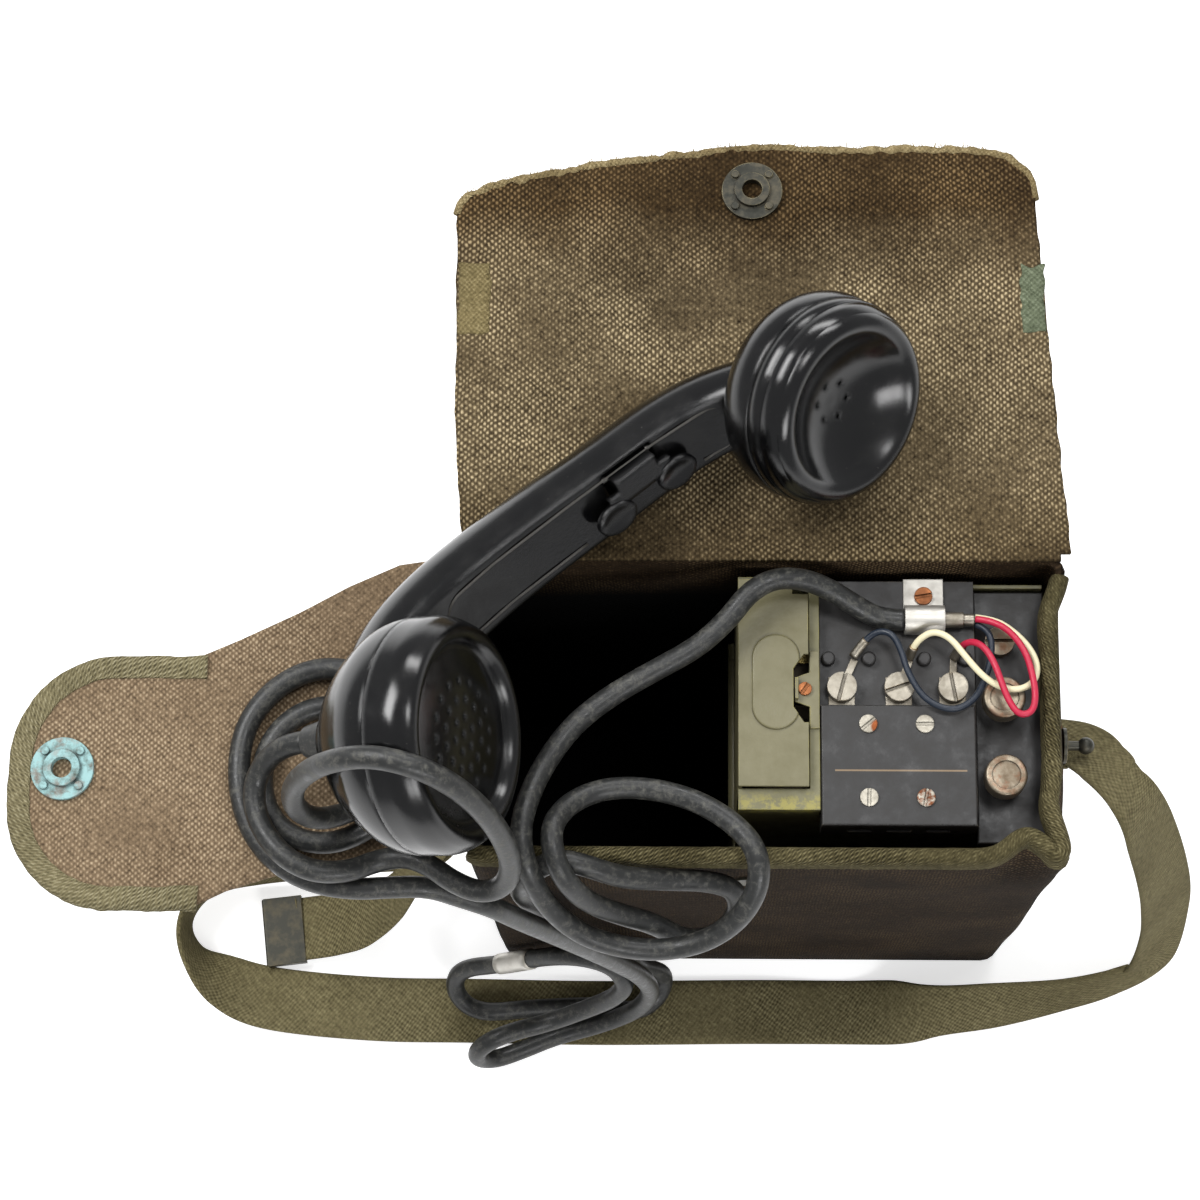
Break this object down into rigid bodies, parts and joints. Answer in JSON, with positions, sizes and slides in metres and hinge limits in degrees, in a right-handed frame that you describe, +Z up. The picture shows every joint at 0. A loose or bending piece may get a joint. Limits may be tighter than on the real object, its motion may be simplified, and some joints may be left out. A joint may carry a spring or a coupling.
{
  "type": "field telephone in a canvas bag",
  "caption": "Military field telephone: hand generator, ringer and terminals in a canvas carrying bag with an open lid, and a black handset on a rubber cord",
  "frame": {"origin": "centre of the bag's flat bottom, on the surface it stands on", "axes": "+X to the telephone's right as seen from the front, +Y to the back where the lid is folded, +Z up"},
  "size_m": [0.4041, 0.2899, 0.3354],
  "materials": {
    "canvas_khaki": "woven cotton duck, khaki",
    "canvas_brown": "woven cotton duck, darker brown",
    "webbing": "woven olive webbing",
    "binding_tape": "herringbone tape",
    "brass_dull": "dull, with verdigris",
    "blackened": "blackened steel",
    "copper_rivet": "copper, dull",
    "olive_enamel": "olive enamel, satin, worn",
    "black_moulding": "moulded phenolic, satin",
    "bakelite": "black bakelite, polished",
    "nickel": "nickel plated, tarnished",
    "steel": "plain steel",
    "magnet_steel": "dark lacquered magnet steel",
    "copper_wound": "varnished winding",
    "cell_card": "card jacket on zinc",
    "aluminium_sheet": "bare sheet",
    "cord_rubber": "black rubber jacket, dusty",
    "wire_blue": "blue-black rubber",
    "wire_cream": "cream rubber",
    "wire_red": "red rubber"
  },
  "bodies": {
    "bag": {"canvas_bag": "canvas_brown", "mouth_binding": "binding_tape", "wall_studs": "brass_dull", "bag_rivets": "copper_rivet", "carry_strap": "webbing", "strap_tip": "blackened", "strap_buckle": "blackened", "base_frame": "olive_enamel", "battery_tray": "steel", "dry_cells": "cell_card", "cell_contacts": "brass_dull", "door_hinge_pin": "steel", "door_catch": "steel", "terminal_screws": "nickel", "terminal_tags": "nickel", "block_screws": "nickel", "terminal_block": "black_moulding", "terminal_pegs": "black_moulding", "post_collars": "nickel", "side_plate": "black_moulding", "terminal_panel": "black_moulding", "cord_clamp": "aluminium_sheet", "clamp_screws": "nickel", "cord_ferrule": "blackened", "wire_blue": "wire_blue", "wire_cream": "wire_cream", "wire_red": "wire_red", "generator_plates": "brass_dull", "generator_magnets": "magnet_steel", "ringer_frame": "steel", "ringer_coils": "copper_wound", "ringer_gongs": "brass_dull", "induction_coil": "copper_wound", "condenser": "steel", "cord_near": "cord_rubber", "cord_tag": "aluminium_sheet"},
    "lid": {"lid_flap": "canvas_khaki"},
    "lid_front": {"lid_front_flap": "canvas_khaki", "lid_socket": "blackened"},
    "side_flap": {"side_flap": "canvas_khaki", "side_flap_binding": "binding_tape", "side_flap_socket": "brass_dull"},
    "battery_door": {"battery_door": "olive_enamel"},
    "post_front": {"line_post_front": "nickel"},
    "post_rear": {"line_post_rear": "nickel"},
    "selector": {"selector_screw": "blackened"},
    "crank": {"drive_gear": "brass_dull", "crank_shaft": "steel", "crank_arm": "nickel"},
    "knob": {"crank_knob": "blackened"},
    "rotor": {"armature": "steel"},
    "clapper": {"ringer_clapper": "steel"},
    "handset": {"handset_body": "bakelite", "receiver_cap": "bakelite", "transmitter_cap": "bakelite", "handset_capsules": "aluminium_sheet", "switch_pin": "steel", "cord_outlet": "cord_rubber", "cord_far": "cord_rubber"},
    "talk_switch": {"talk_switch": "bakelite"}
  },
  "joints": [
    {"name": "lid_fold", "type": "hinge", "parent": "bag", "child": "lid", "pos_m": [0, 0.0513, 0.24015], "axis": [-1, 0, 0], "range_deg": [0, 85]},
    {"name": "lid_front_crease", "type": "hinge", "parent": "lid", "child": "lid_front", "pos_m": [-0.0057, 0.1554, 0.24265], "axis": [1, 0, 0], "range_deg": [0, 85]},
    {"name": "side_flap_fold", "type": "hinge", "parent": "bag", "child": "side_flap", "pos_m": [-0.0988, 0, 0.24015], "axis": [0, -1, 0], "range_deg": [0, 70]},
    {"name": "battery_door_hinge", "type": "hinge", "parent": "bag", "child": "battery_door", "pos_m": [-0.0084, 0.0085, 0.148], "axis": [0, -1, 0], "range_deg": [0, 60]},
    {"name": "post_front_press", "type": "slide", "parent": "bag", "child": "post_front", "axis": [0, 0, -1], "range_m": [0, 0.0035], "stiffness_N_per_m": 600},
    {"name": "post_rear_press", "type": "slide", "parent": "bag", "child": "post_rear", "axis": [0, 0, -1], "range_m": [0, 0.0035], "stiffness_N_per_m": 600},
    {"name": "selector_turn", "type": "hinge", "parent": "bag", "child": "selector", "pos_m": [0.0779, 0.0251, 0.226], "axis": [0, 0, 1], "range_deg": [0, 90]},
    {"name": "crank_turn", "type": "hinge", "parent": "bag", "child": "crank", "pos_m": [0.09, 0.006, 0.136], "axis": [1, 0, 0], "continuous": true},
    {"name": "knob_spin", "type": "hinge", "parent": "crank", "child": "knob", "pos_m": [0.108, 0.006, 0.096], "axis": [1, 0, 0], "continuous": true},
    {"name": "rotor_spin", "type": "hinge", "parent": "bag", "child": "rotor", "pos_m": [0.06, 0.006, 0.112], "axis": [1, 0, 0], "continuous": true},
    {"name": "clapper_swing", "type": "hinge", "parent": "bag", "child": "clapper", "pos_m": [0.043, 0.0013, 0.062], "axis": [0, 1, 0], "range_deg": [-5, 5], "stiffness_Nm_per_rad": 0.01},
    {"name": "handset_lift", "type": "slide", "parent": "bag", "child": "handset", "axis": [0, 0, 1], "range_m": [0, 0.05]},
    {"name": "talk_switch_press", "type": "hinge", "parent": "handset", "child": "talk_switch", "pos_m": [-0.04639, 0.07311, 0.26897], "axis": [0.7687, 0.6382, -0.0436], "range_deg": [0, 8], "stiffness_Nm_per_rad": 0.3}
  ],
  "couplings": [
    {"joint": "rotor_spin", "follows": "crank_turn", "ratio": -4}
  ]
}
